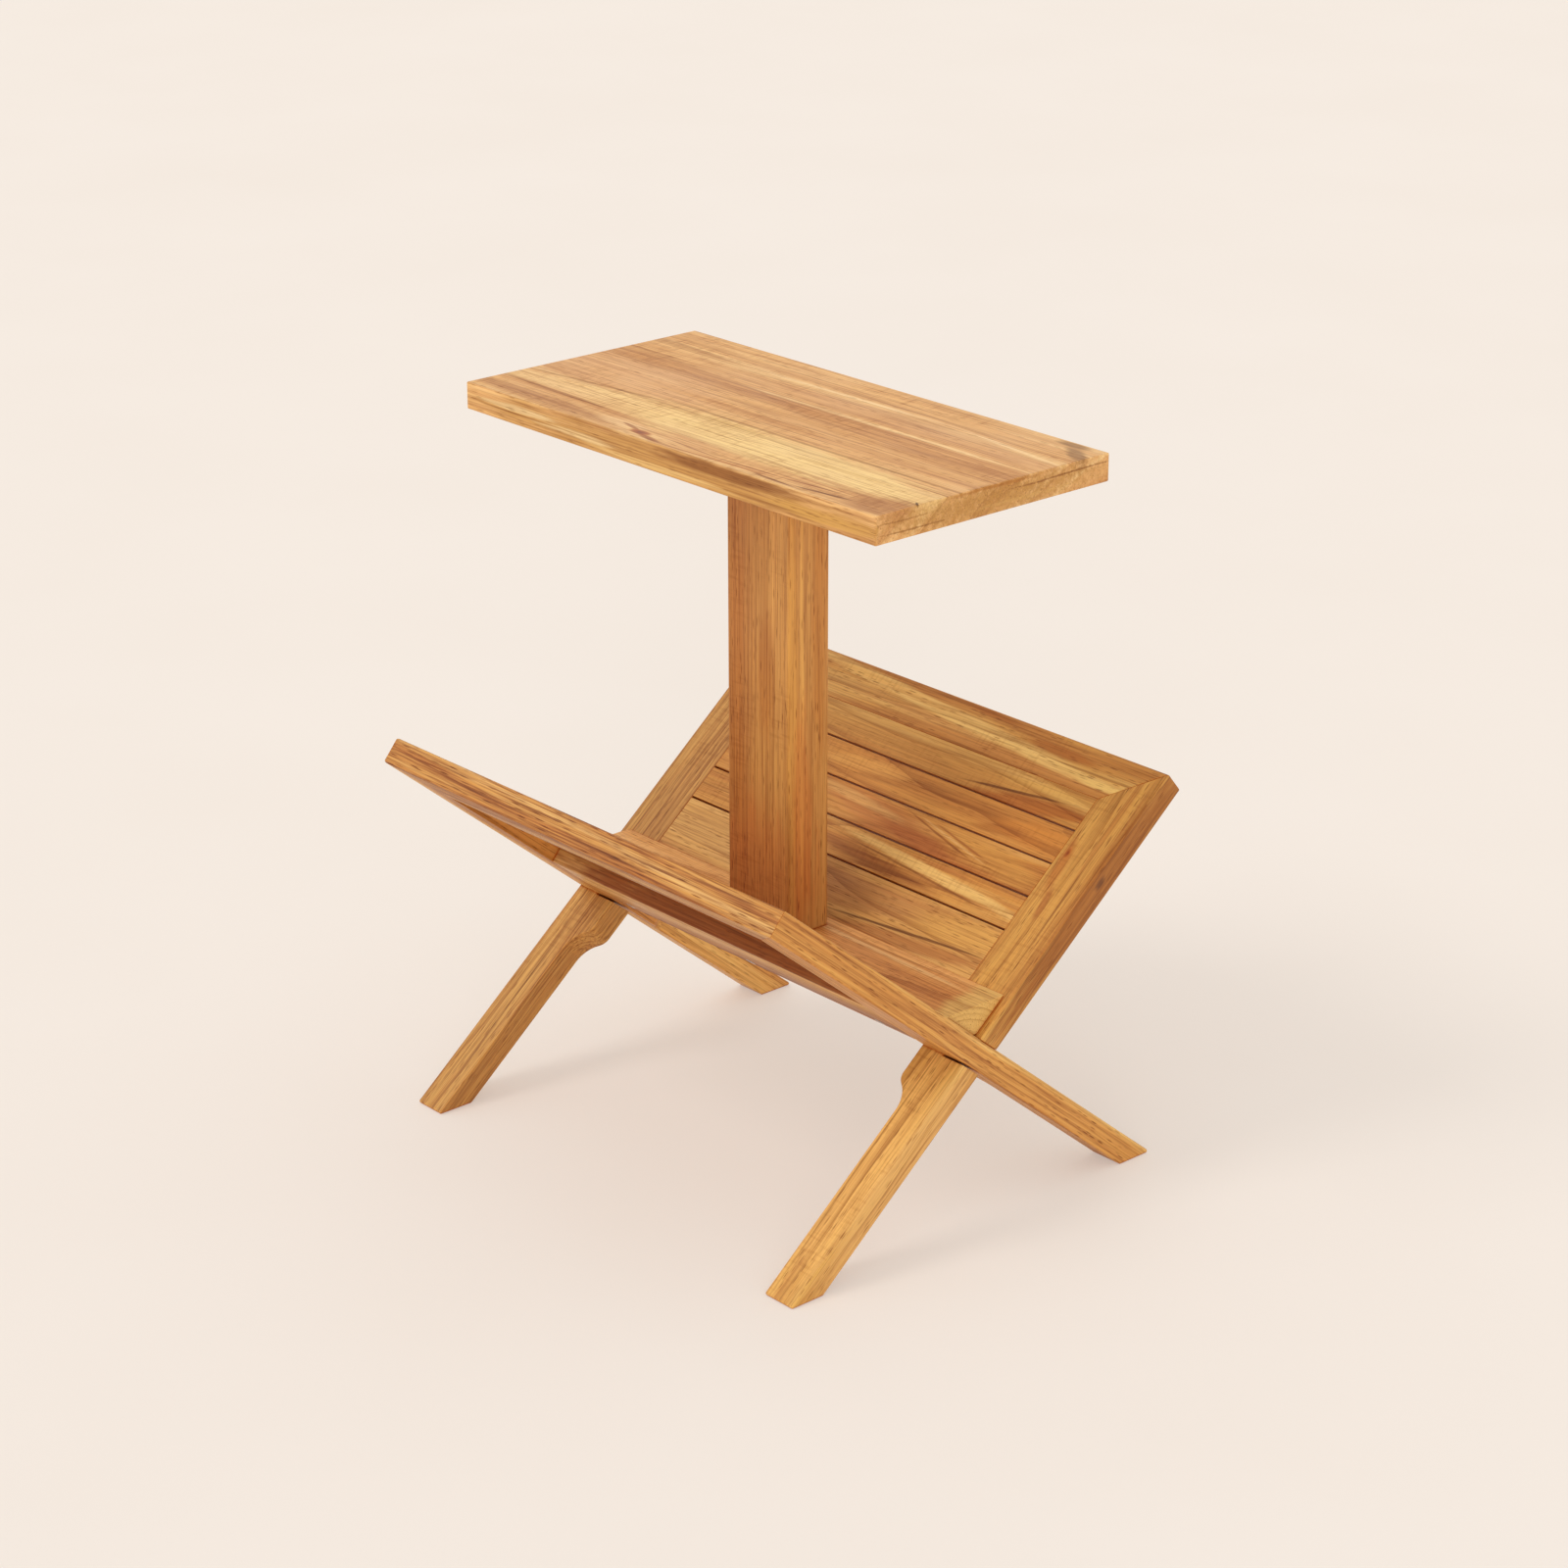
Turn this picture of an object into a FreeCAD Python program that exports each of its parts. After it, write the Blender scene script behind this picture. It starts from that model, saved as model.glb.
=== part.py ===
import FreeCAD, Part
import math
import os
import Sketcher

# Magazine table with rack: a small top on a post that stands in a V rack of two crossed slatted frames.
# Millimetres, +Z up, X along the top's long side, the front at -Y, origin on the floor under the middle.
# A frame is drawn flat: X across it, Y up along its stiles from the crossing, Z towards the inside of the V.

os.makedirs("parts", exist_ok=True)
doc = FreeCAD.newDocument("MagazineTable")

driving_sizes = (
    # the top and its post
    ("table_height", 520.7),
    ("top_length", 406.4),
    ("top_depth", 203.2),
    ("top_thick", 19.0),
    ("top_edge_radius", 1.0),
    ("post_width", 62.0),
    ("post_depth", 36.0),
    ("post_edge_radius", 1.5),
    # one slatted frame: lean is the angle from the floor, reach runs from the crossing to the top edge
    ("frame_width", 401.0),
    ("frame_thick", 19.0),
    ("frame_lean", 39.5),
    ("frame_reach", 231.5),
    ("frame_edge_radius", 1.5),
    ("crossing_level", 127.0),
    ("stile_width", 39.5),
    ("leg_width", 26.0),
    ("ogee_start", 34.0),
    ("ogee_upper_radius", 10.0),
    ("ogee_lower_radius", 22.0),
    ("top_rail_width", 35.0),
    ("bottom_rail_width", 65.0),
    ("bottom_rail_start", 19.0),
    ("slat_thick", 8.0),
    ("slat_gap", 1.4),
    # joints inside a frame
    ("tongue_thick", 4.0),
    ("tongue_length", 7.5),
    ("tongue_cover", 2.0),
    ("tenon_thick", 7.0),
    ("tenon_length", 22.0),
    ("tenon_shoulder", 8.0),
    ("spline_margin", 11.0),
    ("spline_width", 18.0),
    ("spline_thick", 3.0),
    # the lap where the frames cross, and the V block between them
    ("lap_gap", 1.4),
    ("floor_rise", 34.5),
    ("floor_inset", 6.0),
    ("floor_keel", 4.0),
    # fasteners: a margin runs from the wood's edge to a hole's centre, a cover is the wood left past a hole
    ("screw_diameter", 4.0),
    ("screw_head", 8.0),
    ("screw_rise", 6.0),
    ("screw_margin", 31.0),
    ("screw_cover", 2.8),
    ("foot_dowel_diameter", 10.0),
    ("foot_dowel_margin", 13.0),
    ("foot_dowel_cover", 10.0),
    ("foot_dowel_in_post", 24.0),
    ("head_dowel_diameter", 8.0),
    ("head_dowel_margin", 11.0),
    ("head_dowel_row_margin", 9.0),
    ("head_dowel_cover", 6.0),
    ("head_dowel_in_post", 22.0),
    # clearance round a fitted piece, room past its end, and how far a cut runs past the wood
    ("fit", 0.05),
    ("end_room", 1.0),
    ("overcut", 2.0),
)
slat_count = 4

sheet = doc.addObject("Spreadsheet::Sheet", "Sizes")
for row, (alias, amount) in enumerate(driving_sizes, start=1):
    sheet.set(f"A{row}", alias)
    sheet.set(f"B{row}", str(amount))
    sheet.setAlias(f"B{row}", alias)
doc.recompute()

# Lengths that follow from the driving sizes, as expressions for the features below
lean = "Sizes.frame_lean"
half_thick = "(Sizes.frame_thick / 2)"
outer_edge = "(Sizes.frame_width / 2)"
inner_edge = "(Sizes.frame_width / 2 - Sizes.stile_width)"
leg_edge = "(Sizes.frame_width / 2 - Sizes.leg_width)"
lap_plane = "(Sizes.frame_width / 2 - Sizes.stile_width / 2)"
field_top = "(Sizes.frame_reach - Sizes.top_rail_width)"
field_bottom = "(Sizes.bottom_rail_start + Sizes.bottom_rail_width)"
slat_pitch = f"(({field_top} - {field_bottom}) / {slat_count})"
leg_run = f"((Sizes.crossing_level + {half_thick} * cos({lean})) / sin({lean}))"
leg_end = f"({leg_run} + Sizes.overcut)"
vee_level = f"(Sizes.crossing_level + ({half_thick} + Sizes.fit) / cos({lean}))"
floor_level = "(Sizes.crossing_level + Sizes.floor_rise)"
floor_half = f"(({floor_level} - {vee_level}) / tan({lean}))"
post_length = f"(Sizes.table_height - Sizes.top_thick - {floor_level})"
top_underside = "(Sizes.table_height - Sizes.top_thick)"
foot_dowel_in_floor = f"({floor_level} - {vee_level} - Sizes.foot_dowel_cover - Sizes.end_room)"
head_dowel_in_top = "(Sizes.top_thick - Sizes.head_dowel_cover - Sizes.end_room)"
hole_room = "2 * Sizes.fit"

frame_turns = {"rear": 0, "front": 180}
nodes = []

# How a sketch numbers its axes and the ends and centre of a curve, and how near two points count as one
x_axis = -1
y_axis = -2
start_point = 1
finish_point = 2
centre_point = 3
touching = 1e-6


def number(expression):
    return float(sheet.evalExpression(expression))


def placed(x, y, z, yaw="0", roll="0"):
    return f"placement(vector({x}; {y}; {z}); rotation({yaw}; 0; {roll}))"


def frame_place(side):
    return placed("0", "0", "Sizes.crossing_level", str(frame_turns[side]), lean)


def new_body(label, place):
    body = doc.addObject("PartDesign::Body", label)
    body.Label = label
    body.setExpression("Placement", place)
    nodes.append(body)
    return body


def new_sketch(body, name, plane, offset=None):
    sketch = body.newObject("Sketcher::SketchObject", f"{body.Name}_{name}")
    planes = {feature.Role: feature for feature in body.Origin.OriginFeatures}
    sketch.AttachmentSupport = [(planes[plane], "")]
    sketch.MapMode = "FlatFace"
    if offset:
        sketch.setExpression("AttachmentOffset.Base.z", offset)
    return sketch


def bind(sketch, constraint, expression):
    index = sketch.addConstraint(constraint)
    sketch.setExpression(f"Constraints[{index}]", expression)


def pin_point(sketch, geometry, end, x, y):
    for kind, axis, expression in (("DistanceX", y_axis, x), ("DistanceY", x_axis, y)):
        if expression == "0":
            sketch.addConstraint(Sketcher.Constraint("PointOnObject", geometry, end, axis))
        else:
            amount = number(expression)
            bind(sketch, Sketcher.Constraint(kind, x_axis, start_point, geometry, end, amount), expression)


def draw_polygon(sketch, corners):
    first = sketch.GeometryCount
    points = [FreeCAD.Vector(number(x), number(y), 0) for x, y in corners]
    for start, finish in zip(points, points[1:] + points[:1]):
        sketch.addGeometry(Part.LineSegment(start, finish))
    for index, (x, y) in enumerate(corners):
        following = first + (index + 1) % len(corners)
        joint = Sketcher.Constraint("Coincident", first + index, finish_point, following, start_point)
        sketch.addConstraint(joint)
        pin_point(sketch, first + index, start_point, x, y)


def draw_rectangle(sketch, left, right, low, high):
    draw_polygon(sketch, ((left, low), (right, low), (right, high), (left, high)))


def draw_circles(sketch, centres, diameter):
    for x, y in centres:
        middle = FreeCAD.Vector(number(x), number(y), 0)
        circle = Part.Circle(middle, FreeCAD.Vector(0, 0, 1), number(diameter) / 2)
        geometry = sketch.addGeometry(circle)
        pin_point(sketch, geometry, centre_point, x, y)
        bind(sketch, Sketcher.Constraint("Diameter", geometry, number(diameter)), diameter)


def add_pad(body, sketch, length, side="One side"):
    feature = body.newObject("PartDesign::Pad", f"{sketch.Name}_pad")
    feature.Profile = sketch
    feature.SideType = side
    feature.setExpression("Length", length)
    doc.recompute()
    return feature


def add_pocket(body, sketch, length, side="One side", forward=False):
    # forward cuts along the sketch's normal, otherwise the cut goes against it
    before = body.Shape.Volume
    feature = body.newObject("PartDesign::Pocket", f"{sketch.Name}_cut")
    feature.Profile = sketch
    feature.SideType = side
    feature.Reversed = forward
    feature.setExpression("Length", length)
    doc.recompute()
    if body.Shape.Volume >= before:
        raise RuntimeError(f"{feature.Name} cuts nothing")
    return feature


def round_edges(body, feature, radius, wanted):
    # wanted picks the edges by their two end points
    names = []
    for index, edge in enumerate(feature.Shape.Edges, start=1):
        if len(edge.Vertexes) == 2 and wanted(edge.Vertexes[0].Point, edge.Vertexes[1].Point):
            names.append(f"Edge{index}")
    fillet = body.newObject("PartDesign::Fillet", f"{body.Name}_round")
    fillet.Base = (feature, names)
    fillet.setExpression("Radius", radius)
    doc.recompute()
    return fillet


def upright(start, finish):
    return abs(start.z - finish.z) > touching


def rail_arris(level):
    # the edges that run along a rail at that distance from the crossing
    def wanted(start, finish):
        on_edge = abs(start.y - level) + abs(finish.y - level) < touching
        return on_edge and not upright(start, finish)

    return wanted


def signed(sign, expression):
    return expression if sign > 0 else f"-{expression}"


# The top: one board with eased edges, bored from below for the post's dowels
head_dowel_x = "(Sizes.post_width / 2 - Sizes.head_dowel_margin)"
head_dowel_y = "(Sizes.post_depth / 2 - Sizes.head_dowel_row_margin)"
head_dowel_places = [(f"{x}{head_dowel_x}", f"{y}{head_dowel_y}") for x in ("", "-") for y in ("", "-")]


def make_tabletop():
    body = new_body("tabletop", placed("0", "0", top_underside))
    outline = new_sketch(body, "outline", "XY_Plane")
    half_length = "Sizes.top_length / 2"
    half_depth = "Sizes.top_depth / 2"
    draw_rectangle(outline, f"-{half_length}", half_length, f"-{half_depth}", half_depth)
    board = add_pad(body, outline, "Sizes.top_thick")
    round_edges(body, board, "Sizes.top_edge_radius", lambda start, finish: True)
    holes = new_sketch(body, "dowel_holes", "XY_Plane")
    draw_circles(holes, head_dowel_places, f"Sizes.head_dowel_diameter + {hole_room}")
    add_pocket(body, holes, f"{head_dowel_in_top} + Sizes.end_room", forward=True)


# The post: a square edged stick with eased arrises, bored at both ends
foot_dowel_places = [(f"{x}(Sizes.post_width / 2 - Sizes.foot_dowel_margin)", "0") for x in ("", "-")]


def make_post():
    body = new_body("post", placed("0", "0", floor_level))
    section = new_sketch(body, "section", "XY_Plane")
    half_width = "Sizes.post_width / 2"
    half_depth = "Sizes.post_depth / 2"
    draw_rectangle(section, f"-{half_width}", half_width, f"-{half_depth}", half_depth)
    stick = add_pad(body, section, post_length)
    round_edges(body, stick, "Sizes.post_edge_radius", upright)
    foot = new_sketch(body, "foot_holes", "XY_Plane")
    draw_circles(foot, foot_dowel_places, f"Sizes.foot_dowel_diameter + {hole_room}")
    add_pocket(body, foot, "Sizes.foot_dowel_in_post + Sizes.end_room", forward=True)
    head = new_sketch(body, "head_holes", "XY_Plane", post_length)
    draw_circles(head, head_dowel_places, f"Sizes.head_dowel_diameter + {hole_room}")
    add_pocket(body, head, "Sizes.head_dowel_in_post + Sizes.end_room")


# The rack floor: a V block that seats on the inner faces of both frames and carries the post
outer_screw = f"({inner_edge} - Sizes.screw_margin)"
screw_level = "(Sizes.bottom_rail_start + Sizes.screw_rise)"
screw_tip = f"((Sizes.floor_rise - Sizes.screw_cover - {screw_level} * sin({lean})) / cos({lean}))"
screw_length = f"({screw_tip} + {half_thick})"
screw_places = [(x, screw_level) for x in (f"-{outer_screw}", "0", outer_screw)]


def make_rack_floor():
    body = new_body("rack_floor", placed("0", "0", "0"))
    section = new_sketch(body, "section", "YZ_Plane")
    half_keel = "Sizes.floor_keel / 2"
    keel_level = f"{vee_level} + {half_keel} * tan({lean})"
    draw_polygon(section, (
        (f"-{floor_half}", floor_level),
        (f"-{half_keel}", keel_level),
        (half_keel, keel_level),
        (floor_half, floor_level),
    ))
    add_pad(body, section, "Sizes.frame_width - 2 * Sizes.floor_inset", "Symmetric")
    dowels = new_sketch(body, "dowel_holes", "XY_Plane", floor_level)
    draw_circles(dowels, foot_dowel_places, f"Sizes.foot_dowel_diameter + {hole_room}")
    add_pocket(body, dowels, f"{foot_dowel_in_floor} + Sizes.end_room")
    for side in frame_turns:
        pilots = new_sketch(body, f"{side}_pilots", "XY_Plane")
        pilots.setExpression("AttachmentOffset", frame_place(side))
        draw_circles(pilots, screw_places, f"Sizes.screw_diameter + {hole_room}")
        add_pocket(body, pilots, f"{screw_tip} + Sizes.end_room", forward=True)


def meeting_ends(sketch, first, second):
    # which ends of two lines or arcs lie closest together
    tips = (start_point, finish_point)
    ends = [(mine, other) for mine in tips for other in tips]
    apart = {(mine, other): sketch.getPoint(first, mine).distanceToPoint(sketch.getPoint(second, other))
             for mine, other in ends}
    return min(ends, key=apart.get)


# A stile and leg in one piece: mitred top, S curve where the leg narrows, foot cut level with the floor
def draw_stile_outline(sketch, sign):
    drop = number("Sizes.stile_width - Sizes.leg_width")
    upper = number("Sizes.ogee_upper_radius")
    lower = number("Sizes.ogee_lower_radius")
    turn = math.acos(1 - drop / (upper + lower))
    start = -number("Sizes.ogee_start")
    finish = start - (upper + lower) * math.sin(turn)
    inner = number(inner_edge)
    leg = number(leg_edge)
    corners = {
        "tip": (outer_edge, "Sizes.frame_reach"),
        "mitre": (inner_edge, field_top),
        "toe": (leg_edge, f"-{leg_end}"),
        "heel": (outer_edge, f"-{leg_end}"),
    }
    spots = {name: FreeCAD.Vector(sign * number(x), number(y), 0) for name, (x, y) in corners.items()}
    bend = FreeCAD.Vector(sign * inner, start, 0)
    ease = FreeCAD.Vector(sign * leg, finish, 0)
    axis = FreeCAD.Vector(0, 0, 1)
    upper_circle = Part.Circle(FreeCAD.Vector(sign * (inner + upper), start, 0), axis, upper)
    lower_circle = Part.Circle(FreeCAD.Vector(sign * (leg - lower), finish, 0), axis, lower)
    if sign > 0:
        upper_arc = Part.ArcOfCircle(upper_circle, math.pi, math.pi + turn)
        lower_arc = Part.ArcOfCircle(lower_circle, 0, turn)
    else:
        upper_arc = Part.ArcOfCircle(upper_circle, -turn, 0)
        lower_arc = Part.ArcOfCircle(lower_circle, math.pi - turn, math.pi)
    mitre_line = sketch.addGeometry(Part.LineSegment(spots["tip"], spots["mitre"]))
    inner_line = sketch.addGeometry(Part.LineSegment(spots["mitre"], bend))
    upper_curve = sketch.addGeometry(upper_arc)
    lower_curve = sketch.addGeometry(lower_arc)
    leg_line = sketch.addGeometry(Part.LineSegment(ease, spots["toe"]))
    foot_line = sketch.addGeometry(Part.LineSegment(spots["toe"], spots["heel"]))
    outer_line = sketch.addGeometry(Part.LineSegment(spots["heel"], spots["tip"]))
    for first, second in ((mitre_line, inner_line), (leg_line, foot_line), (foot_line, outer_line),
                          (outer_line, mitre_line)):
        sketch.addConstraint(Sketcher.Constraint("Coincident", first, finish_point, second, start_point))
    for line, name in ((mitre_line, "tip"), (inner_line, "mitre"), (foot_line, "toe"), (outer_line, "heel")):
        x, y = corners[name]
        pin_point(sketch, line, start_point, signed(sign, x), y)
    pin_point(sketch, inner_line, finish_point, signed(sign, inner_edge), "-Sizes.ogee_start")
    for first, second in ((inner_line, upper_curve), (upper_curve, lower_curve), (lower_curve, leg_line)):
        first_end, second_end = meeting_ends(sketch, first, second)
        sketch.addConstraint(Sketcher.Constraint("Tangent", first, first_end, second, second_end))
    bind(sketch, Sketcher.Constraint("Radius", upper_curve, upper), "Sizes.ogee_upper_radius")
    bind(sketch, Sketcher.Constraint("Radius", lower_curve, lower), "Sizes.ogee_lower_radius")


def draw_spline(sketch, sign, room):
    # a rectangle centred on the mitre, its long side along the mitre line
    mitre = "sqrt(Sizes.stile_width ^ 2 + Sizes.top_rail_width ^ 2)"
    along = (f"Sizes.stile_width / {mitre}", f"Sizes.top_rail_width / {mitre}")
    middle = (f"({outer_edge} - Sizes.stile_width / 2)", "(Sizes.frame_reach - Sizes.top_rail_width / 2)")
    half_length = f"({mitre} / 2 - Sizes.spline_margin + {room})"
    half_width = f"(Sizes.spline_width / 2 + {room})"
    corners = []
    for long, wide in (("-", "-"), ("+", "-"), ("+", "+"), ("-", "+")):
        across = "-" if wide == "+" else "+"
        x = f"({middle[0]} {long} {half_length} * {along[0]} {across} {half_width} * {along[1]})"
        y = f"({middle[1]} {long} {half_length} * {along[1]} {wide} {half_width} * {along[0]})"
        corners.append((signed(sign, x), y))
    draw_polygon(sketch, corners)


def lap_corner(level, depth):
    # where the other frame's face, at that level from its mid plane, meets this depth in the stile
    return f"(({level}) - ({depth}) * cos(2 * {lean})) / sin(2 * {lean})"


def stile_arris(sign):
    # the long outer edges and the edges round the sole
    edge = sign * number(outer_edge)
    slope = math.radians(number(lean))
    level = number("Sizes.crossing_level")

    def wanted(start, finish):
        outside = abs(start.x - edge) + abs(finish.x - edge) < touching
        heights = [level + point.y * math.sin(slope) + point.z * math.cos(slope) for point in (start, finish)]
        on_floor = abs(heights[0]) + abs(heights[1]) < touching
        return on_floor or (outside and abs(start.y - finish.y) > number("Sizes.frame_reach"))

    return wanted


def make_stile(side, hand, sign):
    body = new_body(f"{side}_frame_stile_{hand}", frame_place(side))
    outline = new_sketch(body, "outline", "XY_Plane")
    draw_stile_outline(outline, sign)
    add_pad(body, outline, "Sizes.frame_thick", "Symmetric")
    past = f"({half_thick} + Sizes.overcut)"
    foot = new_sketch(body, "foot", "YZ_Plane")
    beyond = f"-({leg_end} + 2 * Sizes.overcut / tan({lean}))"
    draw_polygon(foot, (
        (f"-(Sizes.crossing_level + {past} * cos({lean})) / sin({lean})", past),
        (f"-(Sizes.crossing_level - {past} * cos({lean})) / sin({lean})", f"-{past}"),
        (beyond, f"-{past}"),
        (beyond, past),
    ))
    plank = add_pocket(body, foot, "2 * Sizes.frame_width", "Symmetric")
    round_edges(body, plank, "Sizes.frame_edge_radius", stile_arris(sign))
    # the lap takes the half of the stile that faces +X in the frame, so both frames are alike
    lap = new_sketch(body, "lap", "YZ_Plane", signed(sign, lap_plane))
    low = f"-{half_thick} - Sizes.lap_gap"
    draw_polygon(lap, (
        (lap_corner(low, f"-{past}"), f"-{past}"),
        (lap_corner(f"{half_thick} + Sizes.fit", f"-{past}"), f"-{past}"),
        (lap_corner(f"{half_thick} + Sizes.fit", past), past),
        (lap_corner(low, past), past),
    ))
    add_pocket(body, lap, "Sizes.stile_width / 2 + Sizes.overcut", forward=True)
    mouth = signed(sign, f"({inner_edge} - Sizes.overcut)")
    groove_level = f"{half_thick} - Sizes.tongue_cover - Sizes.tongue_thick - Sizes.fit"
    groove = new_sketch(body, "groove", "XY_Plane", groove_level)
    groove_end = signed(sign, f"({inner_edge} + Sizes.tongue_length + Sizes.end_room)")
    draw_rectangle(groove, mouth, groove_end, field_bottom, field_top)
    add_pocket(body, groove, f"Sizes.tongue_thick + {hole_room}", forward=True)
    mortise = new_sketch(body, "mortise", "XY_Plane")
    mortise_end = signed(sign, f"({inner_edge} + Sizes.tenon_length + Sizes.end_room)")
    mortise_low = "Sizes.bottom_rail_start + Sizes.tenon_shoulder - Sizes.fit"
    mortise_high = f"{field_bottom} - Sizes.tenon_shoulder + Sizes.fit"
    draw_rectangle(mortise, mouth, mortise_end, mortise_low, mortise_high)
    add_pocket(body, mortise, f"Sizes.tenon_thick + {hole_room}", "Symmetric")
    slot = new_sketch(body, "spline_slot", "XY_Plane")
    draw_spline(slot, sign, "Sizes.fit")
    add_pocket(body, slot, f"Sizes.spline_thick + {hole_room}", "Symmetric")


def make_top_rail(side):
    body = new_body(f"{side}_frame_top_rail", frame_place(side))
    outline = new_sketch(body, "outline", "XY_Plane")
    draw_polygon(outline, (
        (f"-{inner_edge}", field_top),
        (inner_edge, field_top),
        (outer_edge, "Sizes.frame_reach"),
        (f"-{outer_edge}", "Sizes.frame_reach"),
    ))
    rail = add_pad(body, outline, "Sizes.frame_thick", "Symmetric")
    round_edges(body, rail, "Sizes.frame_edge_radius", rail_arris(number("Sizes.frame_reach")))
    slots = new_sketch(body, "spline_slots", "XY_Plane")
    for sign in (1, -1):
        draw_spline(slots, sign, "Sizes.fit")
    add_pocket(body, slots, f"Sizes.spline_thick + {hole_room}", "Symmetric")


def make_bottom_rail(side):
    body = new_body(f"{side}_frame_bottom_rail", frame_place(side))
    outline = new_sketch(body, "outline", "XY_Plane")
    draw_rectangle(outline, f"-{inner_edge}", inner_edge, "Sizes.bottom_rail_start", field_bottom)
    rail = add_pad(body, outline, "Sizes.frame_thick", "Symmetric")
    round_edges(body, rail, "Sizes.frame_edge_radius", rail_arris(number("Sizes.bottom_rail_start")))
    tenons = new_sketch(body, "tenons", "XY_Plane")
    reach = f"({inner_edge} + Sizes.tenon_length)"
    tenon_low = "Sizes.bottom_rail_start + Sizes.tenon_shoulder"
    draw_rectangle(tenons, f"-{reach}", reach, tenon_low, f"{field_bottom} - Sizes.tenon_shoulder")
    add_pad(body, tenons, "Sizes.tenon_thick", "Symmetric")
    holes = new_sketch(body, "screw_holes", "XY_Plane", f"-{half_thick}")
    draw_circles(holes, screw_places, f"Sizes.screw_diameter + {hole_room}")
    doc.recompute()
    hole = body.newObject("PartDesign::Hole", f"{body.Name}_countersinks")
    hole.Profile = holes
    hole.Reversed = True
    hole.DepthType = "ThroughAll"
    hole.HoleCutType = "Countersink"
    hole.HoleCutCustomValues = True
    hole.HoleCutCountersinkAngle = 90
    hole.setExpression("Diameter", f"Sizes.screw_diameter + {hole_room}")
    hole.setExpression("HoleCutDiameter", f"Sizes.screw_head + {hole_room}")
    doc.recompute()


def make_slat(side, index):
    body = new_body(f"{side}_frame_slat_{index + 1}", frame_place(side))
    high = f"{field_top} - {index} * {slat_pitch} - Sizes.fit"
    low = f"{field_top} - {index + 1} * {slat_pitch} + Sizes.slat_gap"
    board = new_sketch(body, "board", "XY_Plane", f"{half_thick} - Sizes.slat_thick")
    draw_rectangle(board, f"-{inner_edge}", inner_edge, low, high)
    add_pad(body, board, "Sizes.slat_thick")
    tongue_level = f"{half_thick} - Sizes.tongue_cover - Sizes.tongue_thick"
    tongues = new_sketch(body, "tongues", "XY_Plane", tongue_level)
    reach = f"({inner_edge} + Sizes.tongue_length)"
    draw_rectangle(tongues, f"-{reach}", reach, low, high)
    add_pad(body, tongues, "Sizes.tongue_thick")


# Loose pieces that repeat: each group is one node of separate solids
def make_group(label, place, length, draw, symmetric=False):
    sketch = doc.addObject("Sketcher::SketchObject", f"{label}_sections")
    sketch.setExpression("Placement", place)
    draw(sketch)
    group = doc.addObject("Part::Extrusion", label)
    group.Label = label
    group.Base = sketch
    group.DirMode = "Normal"
    group.Solid = True
    group.Symmetric = symmetric
    group.setExpression("LengthFwd", length)
    nodes.append(group)


def make_splines(side):
    def draw(sketch):
        for sign in (1, -1):
            draw_spline(sketch, sign, "0")

    make_group(f"{side}_frame_mitre_splines", frame_place(side), "Sizes.spline_thick", draw, symmetric=True)


def make_dowels():
    def draw_foot(sketch):
        draw_circles(sketch, foot_dowel_places, "Sizes.foot_dowel_diameter")

    def draw_head(sketch):
        draw_circles(sketch, head_dowel_places, "Sizes.head_dowel_diameter")

    foot_place = placed("0", "0", f"{floor_level} - {foot_dowel_in_floor}")
    make_group("post_foot_dowels", foot_place, f"{foot_dowel_in_floor} + Sizes.foot_dowel_in_post", draw_foot)
    head_place = placed("0", "0", f"{top_underside} - Sizes.head_dowel_in_post")
    make_group("post_head_dowels", head_place, f"Sizes.head_dowel_in_post + {head_dowel_in_top}", draw_head)


def make_screws(side):
    label = f"{side}_floor_screws"
    screws = []
    for index, (x, y) in enumerate(screw_places, start=1):
        seat = placed(x, y, f"-{half_thick}")
        shank = doc.addObject("Part::Cylinder", f"{label}_shank_{index}")
        shank.setExpression("Radius", "Sizes.screw_diameter / 2")
        shank.setExpression("Height", screw_length)
        shank.setExpression("Placement", seat)
        head = doc.addObject("Part::Cone", f"{label}_head_{index}")
        head.setExpression("Radius1", "Sizes.screw_head / 2")
        head.setExpression("Radius2", "Sizes.screw_diameter / 2")
        head.setExpression("Height", "(Sizes.screw_head - Sizes.screw_diameter) / 2")
        head.setExpression("Placement", seat)
        screw = doc.addObject("Part::Fuse", f"{label}_screw_{index}")
        screw.Base = shank
        screw.Tool = head
        screws.append(screw)
    group = doc.addObject("Part::Compound", label)
    group.Label = label
    group.Links = screws
    group.setExpression("Placement", frame_place(side))
    nodes.append(group)


make_tabletop()
make_post()
make_rack_floor()
for side in frame_turns:
    hands = ("right", "left") if side == "rear" else ("left", "right")
    make_stile(side, hands[0], 1)
    make_stile(side, hands[1], -1)
    make_top_rail(side)
    make_bottom_rail(side)
    for index in range(slat_count):
        make_slat(side, index)
    make_splines(side)
    make_screws(side)
make_dowels()
doc.recompute()

for thing in doc.Objects:
    if "Invalid" in thing.State or "Error" in thing.State:
        raise RuntimeError(f"{thing.Label} failed: {thing.State}")
for node in nodes:
    if node.Shape.isNull() or not node.Shape.isValid():
        raise RuntimeError(f"{node.Label} has no valid shape")
for node in nodes:
    node.Shape.exportStep(f"parts/{node.Label}.step")
    print(node.Label, len(node.Shape.Solids), round(node.Shape.Volume))
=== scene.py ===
import math

import bpy
import numpy as np
from mathutils import Euler, Matrix, Vector


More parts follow.
